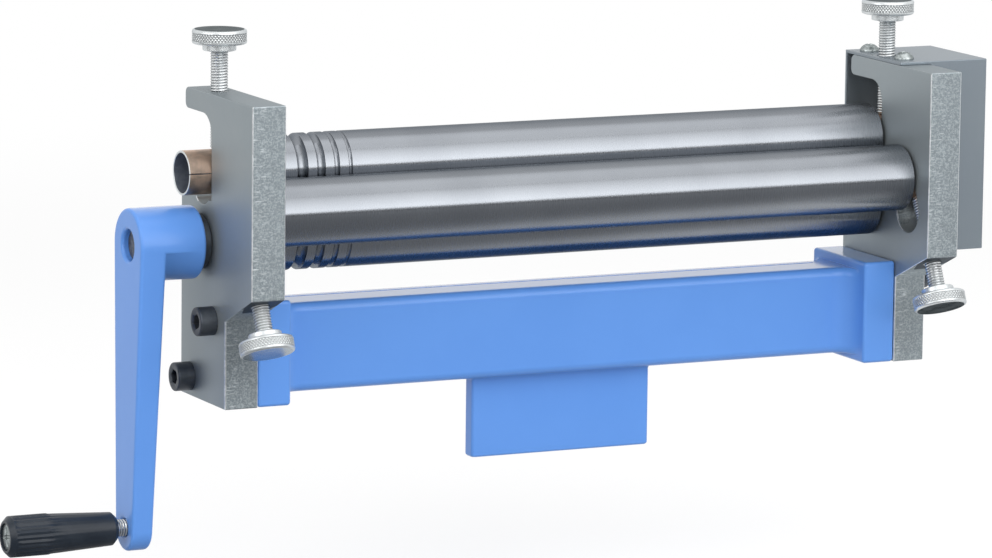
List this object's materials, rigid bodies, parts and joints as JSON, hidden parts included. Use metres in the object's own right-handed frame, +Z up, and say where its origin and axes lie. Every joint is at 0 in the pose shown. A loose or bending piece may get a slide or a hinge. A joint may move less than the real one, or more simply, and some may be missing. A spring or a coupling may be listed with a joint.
{
  "type": "slip roll machine",
  "caption": "Vise-held slip roll with two pinch rolls, a slanting bending roll, end plates, knurled thumb screws, covered gears and a hand crank.",
  "frame": {"origin": "centre of the vise tongue's front clamping face, midway between the side plates", "axes": "+X along the rolls from the crank end to the gear end, +Y horizontal from the bending roll towards the pinch rolls, +Z up"},
  "size_m": [0.476, 0.101, 0.2329],
  "materials": {
    "blue_enamel": "glossy",
    "milled_steel": "milled and dull zinc plated, with bright edges",
    "roll_steel": "ground",
    "bright_steel": "bright",
    "knob_steel": "knurled, zinc plated",
    "black_steel": "black oxide",
    "cover_paint": "satin",
    "bronze": "sintered bronze",
    "black_plastic": "satin"
  },
  "bodies": {
    "frame": {"base_casting": "blue_enamel", "left_side_plate": "milled_steel", "right_side_plate": "milled_steel", "left_plate_bolts": "black_steel", "right_plate_bolts": "black_steel", "gear_cover": "cover_paint", "gear_cover_screws": "bright_steel", "lower_left_bush": "bronze", "lower_right_bush": "bronze"},
    "left_lock": {"left_lock_screw": "knob_steel"},
    "right_lock": {"right_lock_screw": "knob_steel"},
    "top_carrier": {"top_left_bush": "bronze", "top_right_bush": "bronze"},
    "top_left_screw": {"top_left_thumb_screw": "knob_steel"},
    "top_right_screw": {"top_right_thumb_screw": "knob_steel"},
    "top_roll_shaft": {"top_roll": "roll_steel", "top_gear": "bright_steel", "top_gear_key": "black_steel", "top_gear_ring": "black_steel"},
    "crank_shaft": {"lower_roll": "roll_steel", "lower_gear": "bright_steel", "lower_gear_key": "black_steel", "lower_gear_ring": "black_steel", "crank_arm": "blue_enamel", "crank_spacer": "black_steel", "crank_grub_screw": "black_steel", "handle_spindle": "bright_steel"},
    "grip": {"handle_grip": "black_plastic"},
    "bend_carrier": {"bend_left_bush": "bronze", "bend_right_bush": "bronze"},
    "bend_roll_shaft": {"bend_roll": "roll_steel"},
    "bend_left_screw": {"bend_left_thumb_screw": "knob_steel"},
    "bend_right_screw": {"bend_right_thumb_screw": "knob_steel"}
  },
  "joints": [
    {"name": "crank_turn", "type": "hinge", "parent": "frame", "child": "crank_shaft", "pos_m": [0, 0.004, 0.088], "axis": [1, 0, 0], "continuous": true},
    {"name": "grip_turn", "type": "hinge", "parent": "crank_shaft", "child": "grip", "pos_m": [-0.243, 0.0078, -0.03994], "axis": [1, 0, 0], "continuous": true},
    {"name": "top_lift", "type": "slide", "parent": "frame", "child": "top_carrier", "axis": [0, 0, 1], "range_m": [0, 0.014]},
    {"name": "top_roll_turn", "type": "hinge", "parent": "top_carrier", "child": "top_roll_shaft", "pos_m": [0, 0.004, 0.119], "axis": [1, 0, 0], "continuous": true},
    {"name": "top_left_screw_turn", "type": "hinge", "parent": "top_carrier", "child": "top_left_screw", "pos_m": [-0.169, 0.004, 0.155], "axis": [0, 0, 1], "range_deg": [-20, 4060]},
    {"name": "top_right_screw_turn", "type": "hinge", "parent": "top_carrier", "child": "top_right_screw", "pos_m": [0.169, 0.004, 0.155], "axis": [0, 0, 1], "range_deg": [-20, 4060]},
    {"name": "bend_slide", "type": "slide", "parent": "frame", "child": "bend_carrier", "axis": [0, 0.4067, 0.9135], "range_m": [-0.016, 0.004]},
    {"name": "bend_roll_turn", "type": "hinge", "parent": "bend_carrier", "child": "bend_roll_shaft", "pos_m": [0, -0.0265, 0.1035], "axis": [1, 0, 0], "continuous": true},
    {"name": "bend_left_screw_turn", "type": "hinge", "parent": "bend_carrier", "child": "bend_left_screw", "pos_m": [-0.169, -0.0265, 0.1035], "axis": [0, 0.4067, 0.9135], "range_deg": [-4640, 1180]},
    {"name": "bend_right_screw_turn", "type": "hinge", "parent": "bend_carrier", "child": "bend_right_screw", "pos_m": [0.169, -0.0265, 0.1035], "axis": [0, 0.4067, 0.9135], "range_deg": [-4640, 1180]},
    {"name": "left_lock_turn", "type": "hinge", "parent": "frame", "child": "left_lock", "pos_m": [-0.169, 0.02, 0.088], "axis": [0, 1, 0], "range_deg": [-180, 180]},
    {"name": "right_lock_turn", "type": "hinge", "parent": "frame", "child": "right_lock", "pos_m": [0.169, 0.02, 0.088], "axis": [0, 1, 0], "range_deg": [-180, 180]}
  ],
  "couplings": [
    {"joint": "top_roll_turn", "follows": "crank_turn", "ratio": -1},
    {"joint": "top_left_screw_turn", "follows": "top_lift", "rad_per_m": 5026.5},
    {"joint": "top_right_screw_turn", "follows": "top_lift", "rad_per_m": 5026.5},
    {"joint": "bend_left_screw_turn", "follows": "bend_slide", "rad_per_m": 5026.5},
    {"joint": "bend_right_screw_turn", "follows": "bend_slide", "rad_per_m": 5026.5}
  ]
}
